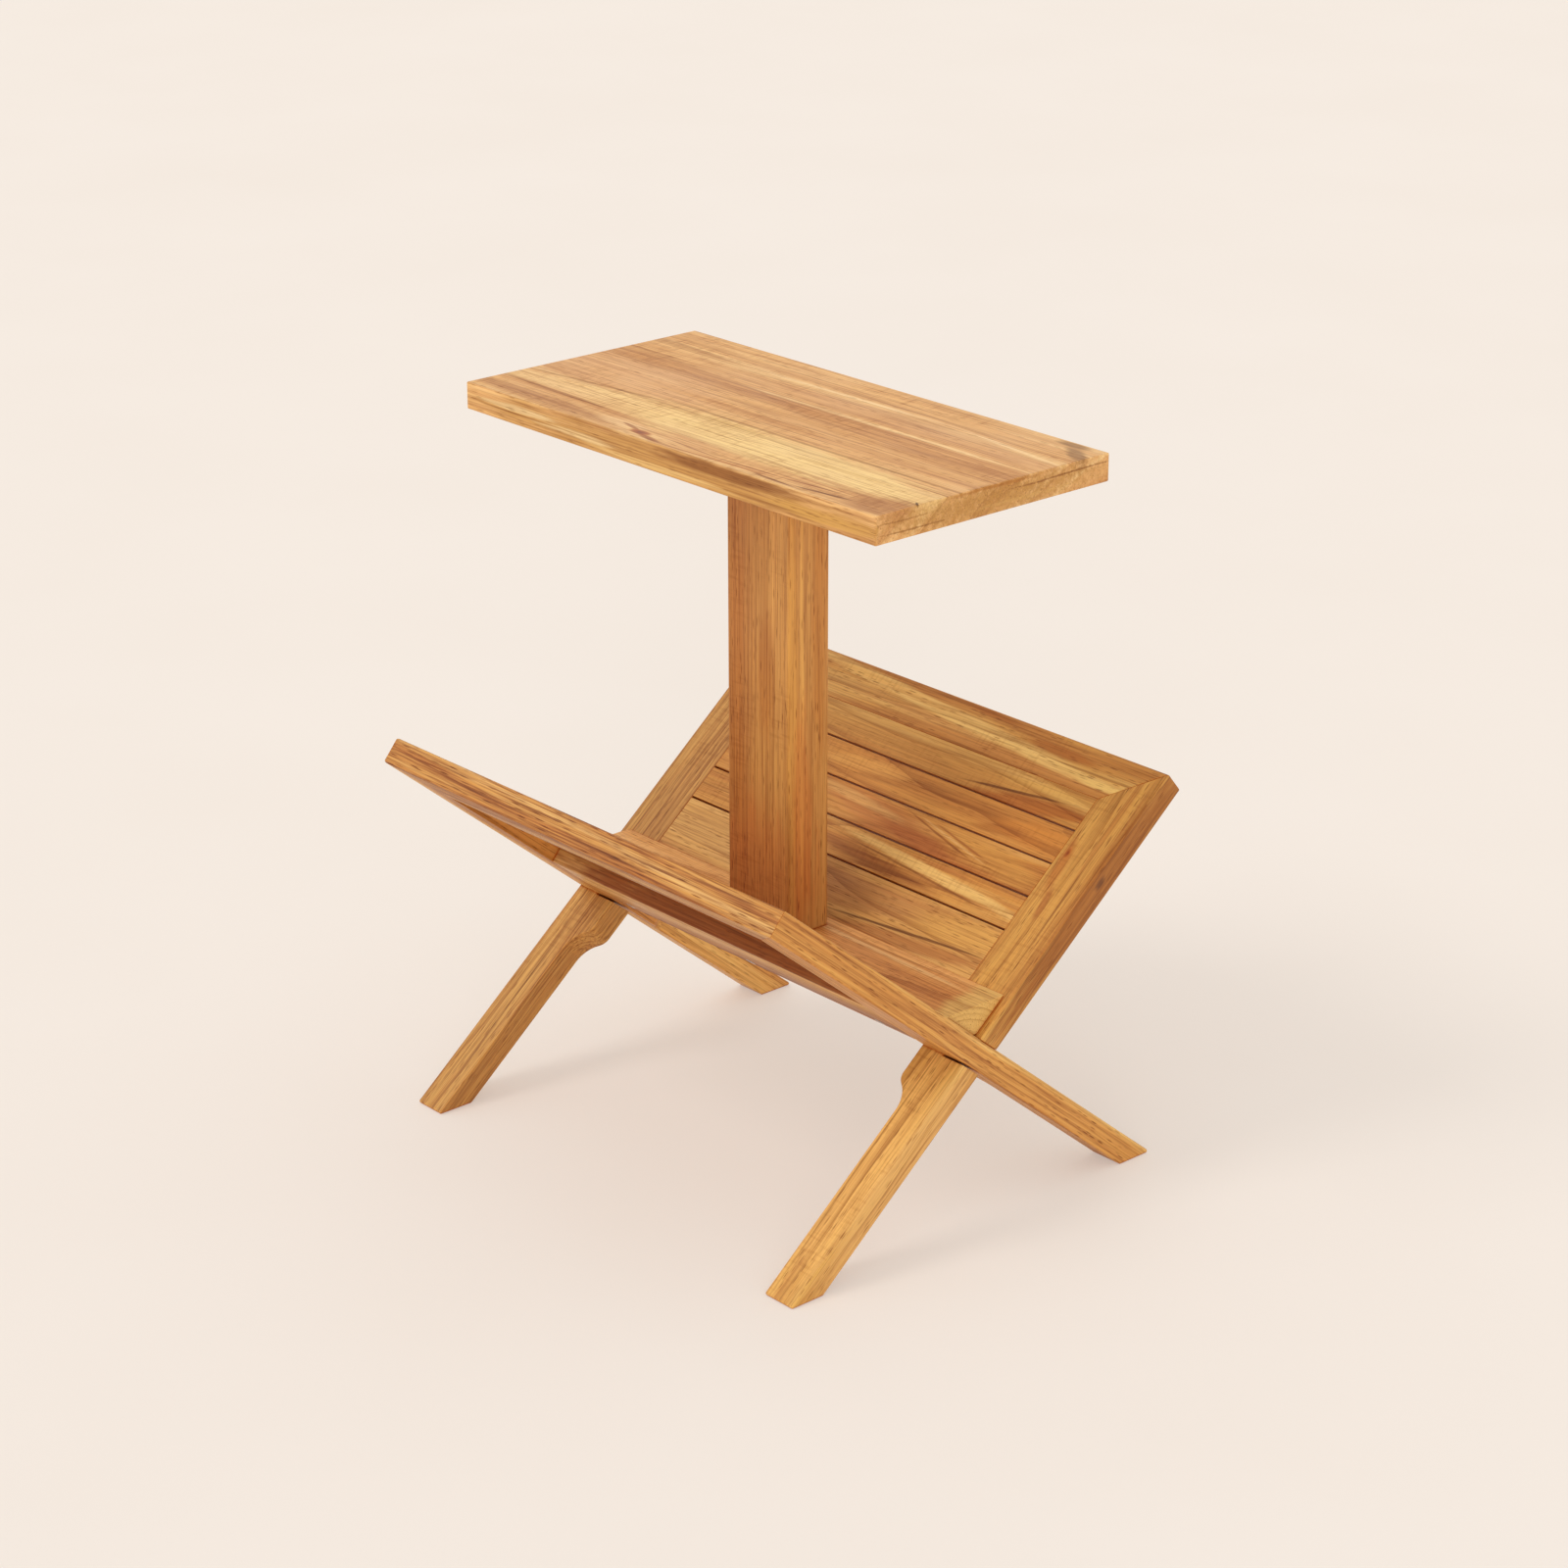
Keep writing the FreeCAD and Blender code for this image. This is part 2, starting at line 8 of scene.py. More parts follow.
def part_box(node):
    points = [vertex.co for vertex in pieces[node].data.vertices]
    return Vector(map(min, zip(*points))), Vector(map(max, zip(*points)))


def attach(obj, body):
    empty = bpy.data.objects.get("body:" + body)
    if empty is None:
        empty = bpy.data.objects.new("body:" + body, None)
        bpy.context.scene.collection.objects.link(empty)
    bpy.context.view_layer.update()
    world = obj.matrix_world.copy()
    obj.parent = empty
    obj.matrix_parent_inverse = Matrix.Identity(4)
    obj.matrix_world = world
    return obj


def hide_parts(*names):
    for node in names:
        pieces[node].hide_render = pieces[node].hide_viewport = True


# A small solid wood table: a top on a post, and the post stands in a V rack of two crossed slatted frames.
# Metres, +Z up, X along the top's long side, the front at -Y. Wood patterns are laid out in millimetres.
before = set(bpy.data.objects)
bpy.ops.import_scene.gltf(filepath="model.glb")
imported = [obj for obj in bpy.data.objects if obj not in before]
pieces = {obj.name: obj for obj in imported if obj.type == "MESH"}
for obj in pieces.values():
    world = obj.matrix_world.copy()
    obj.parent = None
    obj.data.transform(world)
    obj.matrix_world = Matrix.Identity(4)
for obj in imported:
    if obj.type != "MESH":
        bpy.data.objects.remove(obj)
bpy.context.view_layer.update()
print("frame loaded:", len(pieces), "pieces")


def linear(hexColour, alpha=1.0):
    # sRGB hex to the linear values that shaders use
    shares = np.array([int(hexColour[i:i + 2], 16) for i in (1, 3, 5)]) / 255
    return (*np.where(shares <= 0.04045, shares / 12.92, ((shares + 0.055) / 1.055) ** 2.4), alpha)


def put(tree, kind, *inputs, ramp=None, **settings):
    # adds a node: inputs go to its sockets in order, or by name in a dictionary, settings are its properties
    node = tree.nodes.new("ShaderNode" + kind)
    for name, value in settings.items():
        setattr(node, name, value)
    for stop, (place, hexColour) in enumerate(ramp or ()):
        element = node.color_ramp.elements[stop] if stop < 2 else node.color_ramp.elements.new(place)
        element.position = place
        element.color = linear(hexColour)
    named = inputs[0] if inputs and isinstance(inputs[0], dict) else dict(enumerate(inputs))
    for key, value in named.items():
        if isinstance(value, bpy.types.Node):
            value = value.outputs[0]
        if isinstance(value, bpy.types.NodeSocket):
            tree.links.new(value, node.inputs[key])
        elif value is not None:
            node.inputs[key].default_value = value
    return node


# How boards lie: the way the grain runs, and the way the board's face looks
frameLean = math.radians(39.5)
acrossTable = Vector((1, 0, 0))
straightUp = Vector((0, 0, 1))
boardLays = {
    "level": (acrossTable, straightUp),
    "post": (straightUp, Vector((0, -1, 0))),
}
for side, turn in (("rear", 1), ("front", -1)):
    upFrame = Vector((0, turn * math.cos(frameLean), math.sin(frameLean)))
    inward = Vector((0, -turn * math.sin(frameLean), math.cos(frameLean)))
    boardLays[side + " rail"] = (acrossTable * turn, inward)
    boardLays[side + " stile"] = (upFrame, inward)

# What every board shares, in millimetres. Each board's own dictionary changes some of it.
plainBoard = dict(
    sap="#E6BC7C",          # pale outer wood
    gold="#D39C5B",         # middle tone
    heart="#C08648",        # inner wood
    rust="#A3682F",         # darkest zones
    zone=30.0,              # width of a colour zone, counted across the growth rings
    balance=0.0,            # above zero is darker wood
    streak=0.5,             # how much long soft streaks vary the tone
    ring=4.4,               # growth ring spacing
    ringDepth=0.8,
    fibreDepth=0.8,
    poreDepth=0.7,
    poreLength=15.0,
    ripple=0.3,             # faint bars across the grain
    paintedSideShade=0.0,          # painted shade: how much darker the board's narrow sides are painted than its faces
    pith=(35.0, -70.0),     # where the tree's heart lies from the board's middle, across and through it
    runOut=(1.2, 0.8),      # degrees the grain leans, in the face and through it
    wander=7.0,             # how far the grain strays sideways
    bands=(),               # streaks: place, half sizes, turn in degrees, colour, strength
    knots=(),               # knots: place, half sizes, how far the rings bend round it
    ease=0.0006,            # metres, rounding of the edges
    slide=False,            # whether the rounding slides along the edges it meets, as mitred ends need
    wood="oiled teak",
)

# Sizes of the wood's patterns in millimetres, along and across the grain
grainSizes = dict(
    stray=(240, 70),        # slow wandering sideways
    ragged=(42, 4),         # frayed edges of streaks and knots
    streak=(190, 5.5),      # long soft streaks
    fibre=(70, 1.2),        # drawn coarser than real fibres so that they show
    patch=(90, 45),         # patches where bars show and the oil is duller
    bar=(2.6, 20),          # faint bars across the grain
    poreWidth=1.7,
    seedStep=(311, 173, 97),        # from one board's place in the patterns to the next one's
    zoneStep=7.31,                  # the same for the zones, counted in zones
)

# Streaks and knots, as shares of their own half sizes
figureEdges = dict(
    stray=0.35,                             # how much of the grain's wandering a streak follows
    fray=1.1, fade=(1.8, 1.1),              # how ragged a streak's edge is, and where it fades in
    knotFade=(1.3, 0.7), knotStrength=0.9,
    knotReach=4.5,                          # how far out the rings bend round a knot
)

# Tints that these patterns lay over the board's own colours
grainTints = dict(
    ring="#C0A488", fibre="#B9987A", shine="#F6DEB4", pore="#A07C5C", bar="#CDB193",
    # the tint for narrow sides is painted shade, and the tint for joints is dust with painted shade
    side="#DCC6A6", worn="#EDCFA0", dustAndShade="#B2560A",
    knot=((0.0, "#5F2409"), (0.4, "#984616"), (1.0, "#BE712F")),        # from its heart to its rim
)

# The oiled skin
oilFinish = dict(
    smooth=0.36, dull=0.52,                 # roughness of rubbed wood and of the rest
    fibreDull=0.12, poreDull=0.12,          # what fibres and pores add to it
    ringHeight=-0.4, poreHeight=-0.8,       # against the height of a fibre
    bumpStrength=0.22,
    bumpDepth=0.0004, wornWidth=0.0016, dustAndShadeReach=0.002,        # metres
    ior=1.5, specular=0.3,
)


def patternScale(along, across):
    # turns millimetres along and across the grain to pattern units
    return (1 / along, 1 / across, 1 / across)


# Teak board, planed, sanded and oiled: straight brown grain in zones of pale and red wood, with fine dark
# pores and a satin skin. It is solid, so end grain shows the same rings as arcs.
def solidWood(name, board, centre, seed):
    material = bpy.data.materials.new(name)
    material.use_nodes = True
    tree = material.node_tree
    tree.nodes.clear()

    # board coordinates in millimetres: along the grain, across the face, through the thickness
    grain, face = boardLays[board["lay"]]
    axes = Matrix((grain, face.cross(grain), face))
    place = put(tree, "TexCoord").outputs["Object"]
    onBoard = put(tree, "Mapping", place, -1000 * (axes @ centre), axes.to_euler(), (1000, 1000, 1000))
    seeded = put(tree, "VectorMath", onBoard, seed * Vector(grainSizes["seedStep"]), operation="ADD")

    # the grain strays slowly sideways along the board
    strayPlace = put(tree, "Mapping", seeded, None, None, patternScale(*grainSizes["stray"]))
    stray = put(tree, "TexNoise", {"Vector": strayPlace, "Scale": 1.0, "Detail": 2.0, "Roughness": 0.45})
    strayed = put(tree, "VectorMath", stray.outputs["Color"], (0, 2 * board["wander"], 2 * board["wander"]),
                  (0, -board["wander"], -board["wander"]), operation="MULTIPLY_ADD")
    leaning = put(tree, "Mapping", onBoard, (0, -board["pith"][0], -board["pith"][1]),
                  (0, math.radians(board["runOut"][1]), math.radians(board["runOut"][0])))
    inLog = put(tree, "VectorMath", leaning, strayed, operation="ADD")
    crossLog = put(tree, "VectorMath", inLog, (0, 1, 1), operation="MULTIPLY")
    radius = put(tree, "VectorMath", crossLog, operation="LENGTH").outputs["Value"]

    # ragged edges for streaks and knots, which stray a little with the grain
    raggedPlace = put(tree, "Mapping", seeded, None, None, patternScale(*grainSizes["ragged"]))
    ragged = put(tree, "TexNoise", {"Vector": raggedPlace, "Scale": 1.0, "Detail": 3.0, "Roughness": 0.6})
    follow = (0, figureEdges["stray"], figureEdges["stray"])
    wavy = put(tree, "VectorMath", strayed, follow, onBoard, operation="MULTIPLY_ADD")

    # rings bend round each knot
    knotDistances = []
    for at, half, swell in board["knots"]:
        spot = put(tree, "Mapping", onBoard, at, None, half, vector_type="TEXTURE")
        far = put(tree, "VectorMath", spot, operation="LENGTH").outputs["Value"]
        frayed = put(tree, "Math", ragged, 1.0, far, operation="MULTIPLY_ADD")
        knotDistances.append(put(tree, "Math", frayed, 0.5, operation="SUBTRACT"))
        bend = put(tree, "MapRange", far, 0.0, figureEdges["knotReach"], swell, 0.0,
                   interpolation_type="SMOOTHERSTEP")
        radius = put(tree, "Math", radius, bend, operation="ADD").outputs["Value"]

    # broad zones of colour follow the rings, long streaks vary them
    zonePlace = put(tree, "Math", radius, 1 / board["zone"], grainSizes["zoneStep"] * seed,
                    operation="MULTIPLY_ADD")
    zones = put(tree, "TexNoise", {"W": zonePlace, "Scale": 1.0, "Detail": 3.5, "Roughness": 0.55},
                noise_dimensions="1D")
    streakPlace = put(tree, "Mapping", seeded, None, None, patternScale(*grainSizes["streak"]))
    streaks = put(tree, "TexNoise", {"Vector": streakPlace, "Scale": 1.0, "Detail": 3.0, "Roughness": 0.6})
    mixedTone = put(tree, "Math", streaks, board["streak"], zones, operation="MULTIPLY_ADD")
    shift = 0.5 * board["streak"] - 0.15 * board["balance"]
    zoneTone = put(tree, "MapRange", mixedTone, 0.27 + shift, 0.73 + shift, 0.0, 1.0)
    colour = put(tree, "ValToRGB", zoneTone, ramp=((0.0, board["sap"]), (0.38, board["gold"]),
                                                  (0.68, board["heart"]), (1.0, board["rust"])))

    # streaks of other wood, then the knots
    for at, half, turn, hexColour, strength in board["bands"]:
        spot = put(tree, "Mapping", wavy, at, (0, 0, math.radians(turn)), half, vector_type="TEXTURE")
        far = put(tree, "VectorMath", spot, operation="LENGTH").outputs["Value"]
        frayed = put(tree, "Math", ragged, figureEdges["fray"], far, operation="MULTIPLY_ADD")
        cover = put(tree, "MapRange", frayed, *figureEdges["fade"], 0.0, strength,
                    interpolation_type="SMOOTHSTEP")
        colour = put(tree, "MixRGB", cover, colour, linear(hexColour))
    for far in knotDistances:
        cover = put(tree, "MapRange", far, *figureEdges["knotFade"], 0.0, figureEdges["knotStrength"],
                    interpolation_type="SMOOTHSTEP")
        knotWood = put(tree, "ValToRGB", far, ramp=grainTints["knot"])
        colour = put(tree, "MixRGB", cover, colour, knotWood)

    # growth rings: each darkens towards its outer edge, some more than others
    ringPlace = put(tree, "Math", radius, 1 / board["ring"], operation="MULTIPLY")
    ringShare = put(tree, "Math", ringPlace, operation="FRACT")
    ringNumber = put(tree, "Math", ringPlace, operation="FLOOR")
    ringLuck = put(tree, "TexWhiteNoise", {"W": ringNumber}, noise_dimensions="1D")
    ringEdge = put(tree, "Math", ringShare, 3.5, operation="POWER")
    ringLine = put(tree, "Math", ringEdge, ringLuck, operation="MULTIPLY")
    ringCover = put(tree, "Math", ringLine, board["ringDepth"], operation="MULTIPLY")
    colour = put(tree, "MixRGB", ringCover, colour, linear(grainTints["ring"]), blend_type="MULTIPLY")

    # fibres: long dark and pale threads, fainter on end grain
    fibrePlace = put(tree, "Mapping", seeded, None, None, patternScale(*grainSizes["fibre"]))
    fibre = put(tree, "TexNoise", {"Vector": fibrePlace, "Scale": 1.0, "Detail": 3.0, "Roughness": 0.62})
    trueNormal = put(tree, "NewGeometry").outputs["Normal"]
    endwise = put(tree, "VectorMath", trueNormal, grain, operation="DOT_PRODUCT").outputs["Value"]
    onEnd = put(tree, "Math", endwise, operation="ABSOLUTE")
    fibreShow = put(tree, "MapRange", onEnd, 0.6, 0.9, board["fibreDepth"], 0.4 * board["fibreDepth"])
    fibreRange = put(tree, "MapRange", fibre, 0.46, 0.74, 0.0, 1.0)
    fibreDark = put(tree, "Math", fibreRange, fibreShow, operation="MULTIPLY")
    colour = put(tree, "MixRGB", fibreDark, colour, linear(grainTints["fibre"]), blend_type="MULTIPLY")
    fibreLight = put(tree, "MapRange", fibre, 0.5, 0.24, 0.0, 0.4 * board["fibreDepth"])
    colour = put(tree, "MixRGB", fibreLight, colour, linear(grainTints["shine"]), blend_type="SOFT_LIGHT")

    # pores: short dark dashes along the grain, dots on end grain, most of them in the paler part of a ring
    poreScale = patternScale(board["poreLength"], grainSizes["poreWidth"])
    porePlace = put(tree, "Mapping", seeded, None, None, poreScale)
    pore = put(tree, "TexVoronoi", {"Vector": porePlace, "Scale": 1.0}, feature="F1")
    poreSpot = put(tree, "MapRange", pore.outputs["Distance"], 0.32, 0.14, 0.0, 1.0)
    poreEarly = put(tree, "MapRange", ringShare, 0.2, 0.85, 1.0, 0.25)
    poreShow = put(tree, "Math", poreSpot, poreEarly, operation="MULTIPLY")
    poreCover = put(tree, "Math", poreShow, board["poreDepth"], operation="MULTIPLY")
    colour = put(tree, "MixRGB", poreCover, colour, linear(grainTints["pore"]), blend_type="MULTIPLY")

    # faint bars across the grain in some patches of the faces, where the wood turns the light
    facewise = put(tree, "VectorMath", trueNormal, face, operation="DOT_PRODUCT").outputs["Value"]
    onFace = put(tree, "Math", facewise, operation="ABSOLUTE")
    patchPlace = put(tree, "Mapping", seeded, None, None, patternScale(*grainSizes["patch"]))
    patch = put(tree, "TexNoise", {"Vector": patchPlace, "Scale": 1.0, "Detail": 2.0})
    barShow = put(tree, "MapRange", patch, 0.42, 0.62, 0.0, board["ripple"], interpolation_type="SMOOTHSTEP")
    barPlace = put(tree, "Mapping", seeded, None, (0, 0, 0.25), patternScale(*grainSizes["bar"]))
    bars = put(tree, "TexNoise", {"Vector": barPlace, "Scale": 1.0, "Detail": 1.0})
    barRange = put(tree, "MapRange", bars, 0.5, 0.7, 0.0, 1.0)
    barLine = put(tree, "Math", barRange, onFace, operation="MULTIPLY")
    barCover = put(tree, "Math", barLine, barShow, operation="MULTIPLY")
    colour = put(tree, "MixRGB", barCover, colour, linear(grainTints["bar"]), blend_type="MULTIPLY")

    # painted shade: the narrow sides are painted darker than the faces
    sideCover = put(tree, "MapRange", onFace, 0.3, 0.8, board["paintedSideShade"], 0.0)
    colour = put(tree, "MixRGB", sideCover, colour, linear(grainTints["side"]), blend_type="MULTIPLY")

    # handled arrises are worn paler; the joints hold a dark line of dust and old oil, with painted shade, as
    # the mask darkens every crevice and contact within 2 mm
    softNormal = put(tree, "Bevel", oilFinish["wornWidth"], samples=4)
    turned = put(tree, "VectorMath", softNormal, trueNormal, operation="DOT_PRODUCT").outputs["Value"]
    worn = put(tree, "MapRange", turned, 0.985, 0.8, 0.0, 0.3)
    colour = put(tree, "MixRGB", worn, colour, linear(grainTints["worn"]), blend_type="SOFT_LIGHT")
    crevice = put(tree, "AmbientOcclusion", {"Distance": oilFinish["dustAndShadeReach"]}, samples=4)
    openness = crevice.outputs["AO"]
    dustAndShadeCover = put(tree, "MapRange", openness, 0.88, 0.55, 0.0, 0.95)
    colour = put(tree, "MixRGB", dustAndShadeCover, colour, linear(grainTints["dustAndShade"]))

    # satin oil: glossier between the patches, where hands and cloths have rubbed it, duller in the pores
    sheen = put(tree, "MapRange", patch, 0.3, 0.7, oilFinish["smooth"], oilFinish["dull"])
    grainSheen = put(tree, "Math", fibre, oilFinish["fibreDull"], sheen, operation="MULTIPLY_ADD")
    roughness = put(tree, "Math", poreShow, oilFinish["poreDull"], grainSheen, operation="MULTIPLY_ADD")
    fibreHeight = put(tree, "Math", ringLine, oilFinish["ringHeight"], fibre, operation="MULTIPLY_ADD")
    height = put(tree, "Math", poreShow, oilFinish["poreHeight"], fibreHeight, operation="MULTIPLY_ADD")
    bump = put(tree, "Bump", {
        "Strength": oilFinish["bumpStrength"], "Distance": oilFinish["bumpDepth"], "Height": height})
    shader = put(tree, "BsdfPrincipled", {
        "Base Color": colour, "Roughness": roughness, "Normal": bump, "IOR": oilFinish["ior"],
        "Specular IOR Level": oilFinish["specular"]})
    put(tree, "OutputMaterial", shader)
    return material


def dress(node, material):
    slots = pieces[node].data.materials
    slots.clear()
    slots.append(material)


# Easing of the boards' edges: metres and degrees
easing = dict(
    closer=0.00001,         # corners nearer than this are one corner
    plane=0.3,              # triangles within this angle lie in one plane
    sharp=55.0,             # edges that turn more than this are rounded
    segments=2,
)


def easeEdges(node, width, slide):
    # closes the loose triangles, joins those that lie in one plane and rounds the sharp edges a little
    piece = pieces[node]
    weld = piece.modifiers.new("close", "WELD")
    weld.merge_threshold = easing["closer"]
    flat = piece.modifiers.new("flat", "DECIMATE")
    flat.decimate_type = "DISSOLVE"
    flat.angle_limit = math.radians(easing["plane"])
    bevel = piece.modifiers.new("ease", "BEVEL")
    bevel.width = width
    bevel.segments = easing["segments"]
    bevel.limit_method = "ANGLE"
    bevel.angle_limit = math.radians(easing["sharp"])
    bevel.harden_normals = True
    bevel.loop_slide = slide
    bevel.use_clamp_overlap = False


def finishBoards(boards):
    for node, board in boards.items():
        board = {**plainBoard, **board}
        low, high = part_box(node)
        seed = 1.0 + 0.618 * sorted(pieces).index(node)     # no two boards show the same grain
        dress(node, solidWood(board["wood"] + ", " + node, board, (low + high) / 2, seed))
        easeEdges(node, board["ease"], board["slide"])


# The top: pale board with a broad yellow band near the front, and red heartwood at the corners
finishBoards({"tabletop": dict(
    lay="level", sap="#F8CD8E", gold="#EAB474", heart="#DCA163", rust="#C18348", zone=16.0, ring=6.5,
    pith=(190.0, -330.0), runOut=(0.4, 0.3), wander=5.0, ripple=0.45, poreDepth=0.5, ringDepth=0.5,
    streak=0.4,
    bands=(
        ((-140, -12, 9), (95, 34, 12), 0, "#E7B17D", 0.5),
        ((70, 50, 9), (150, 13, 12), 0, "#D59B65", 0.65),
        ((-180, 68, 9), (60, 4, 9), -2, "#C1874E", 0.6),
        ((-186, 40, 9), (60, 3.5, 9), 0, "#C1874E", 0.55),
        ((70, 5, 9), (150, 4, 9), 0, "#D29656", 0.6),
        ((70, -9, 9), (160, 3.5, 9), 0, "#D29656", 0.6),
        ((-60, -10, 9), (70, 2.5, 9), 2, "#D4995B", 0.5),
        ((63, 32.6, 9), (150, 2.2, 6), 0, "#FED597", 0.7),
        ((-3, 66.6, 9), (95, 2.0, 6), 0.8, "#FFD89F", 0.7),
        ((157, 62.3, 9), (58, 2.0, 6), -6, "#FFD89F", 0.7),
        ((55, -54, 9), (190, 25, 13), -1, "#FDD68E", 0.9),
        ((-146, -57, 9), (115, 11, 10), 4.5, "#F9CD8B", 0.75),
        ((120, -52, 9), (50, 3, 6), 0, "#E7BA70", 0.6),
        ((0, -36, 9), (30, 2.5, 6), 0, "#E7BA70", 0.6),
        ((-140, -40, 9), (78, 1.6, 6), 7, "#B88145", 0.75),
        ((63, -29.4, 9), (160, 1.5, 6), -0.3, "#B88145", 0.75),
        ((-145, -71, 9), (65, 1.8, 6), -2, "#A56B34", 0.8),
        ((-140, -90, 9), (80, 9, 9), -2, "#BE824C", 0.75),
        ((-57, -85, 9), (24, 6, 6), 0, "#FACD92", 0.7),
        ((-18, -96, 9), (16, 2.6, 6), -8, "#A65E2B", 0.8),
        ((-44, -87, 9), (12, 1.6, 6), -14, "#A9622E", 0.7),
        ((50, -96, 9), (55, 1.2, 4), 3, "#B0632B", 0.75),
        ((20, -90, 9), (24, 0.9, 4), -4, "#A86032", 0.7),
        ((75, -91, 9), (30, 1.0, 4), 2, "#A0582A", 0.8),
        ((105, -97, 9), (26, 1.2, 4), -2, "#8A4A20", 0.8),
        ((130, -87, 9), (22, 1.0, 4), 6, "#9A5326", 0.8),
        ((150, -92, 9), (28, 1.3, 4), 8, "#824B1F", 0.85),
        ((190, -84, 9), (26, 18, 10), 20, "#BD814A", 0.75),
        ((201, -65, 10), (3.5, 0.9, 3), -35, "#523316", 0.9),
        ((193, 82, 9), (18, 6, 10), -30, "#94693D", 0.75),
        ((178, 96, 9), (16, 4, 8), 0, "#96693A", 0.8),
        ((0, -104, -2), (260, 5, 16), 0, "#BE8945", 0.85),
        ((-145, -103, 2), (42, 6, 2.4), 0, "#F0CD92", 0.85),
        ((-85, -103, -2), (45, 6, 2.4), 0, "#EFCB8E", 0.85),
        ((-125, -103, -1.5), (60, 5, 0.7), 0, "#A0672C", 0.7),
        ((0, -103, -6), (75, 6, 2.2), 0, "#E6BA74", 0.8),
        ((66, -103, 5), (78, 5, 4.5), 0, "#935A25", 0.9),
        ((95, -103, -5), (45, 5, 0.8), 0, "#9A6228", 0.75),
        ((165, -103, -2), (60, 5, 5), 0, "#CD984A", 0.7),
        ((207, 0, 0), (6, 130, 16), 0, "#B9843F", 0.85),
        ((207, 62, 3.5), (8, 58, 0.8), 0, "#96602A", 0.85),
        ((207, 0, 8), (8, 48, 1.4), 0, "#B0702C", 0.75),
        ((207, -70, -4), (8, 34, 0.8), 0, "#9C6830", 0.8),
        ((207, -78, 3), (8, 26, 0.7), 0, "#A06C33", 0.7),
        ((207, 30, -4), (8, 60, 1.6), 0, "#D2A05A", 0.6),
    ),
    knots=(((-31, -92, 8), (9, 4, 9), 6.0),),
)})

# The post: redder heartwood, with curly grain half way up, a pale stripe on its right side, and painted light
# and shade at its foot
finishBoards({"post": dict(
    lay="post", sap="#D29852", gold="#C78B49", heart="#BB7C40", rust="#A96A32", zone=40.0, ring=3.2,
    balance=0.1, pith=(90.0, -40.0), runOut=(0.3, 0.3), wander=3.0, fibreDepth=0.7,
    bands=(
        ((0, 21, 14), (190, 7, 14), 0, "#B9702E", 0.4),
        ((15, -8, 17), (48, 9, 6), 0, "#B16B2D", 0.55),
        # painted light: the foot of the post is painted a light red, for the warm light reflected from the
        # wood below, offsetting the shade that falls there
        ((-130, 0, 10), (60, 40, 30), 0, "#D07C40", 0.6),
        ((90, -16, 17), (60, 3, 6), 0, "#EDAF61", 0.5),
        ((0, -32, 15), (190, 4, 5), 0, "#E5A751", 0.6),
        ((0, -32, 6.5), (200, 6, 1.9), 0, "#F0B560", 0.7),
        ((60, -32, -9), (110, 5, 7), 0, "#C07B37", 0.6),
        # painted shade and reflected light: the lower part of the right side is painted darker and redder
        ((-90, -32, 6), (85, 6, 9), 0, "#CB7434", 0.5),
    ),
)})

# The rack's floor: pale tan, and yellow sapwood at its right end
finishBoards({"rack_floor": dict(
    lay="level", sap="#F6C17B", gold="#E7AA64", heart="#D79550", rust="#BD793C", pith=(-20.0, -60.0),
    bands=(
        ((190, 0, 0), (15, 60, 60), 12, "#DEB265", 0.9),
        ((60, 14, 10), (130, 2.5, 6), -1, "#EEC384", 0.6),
    ),
)})

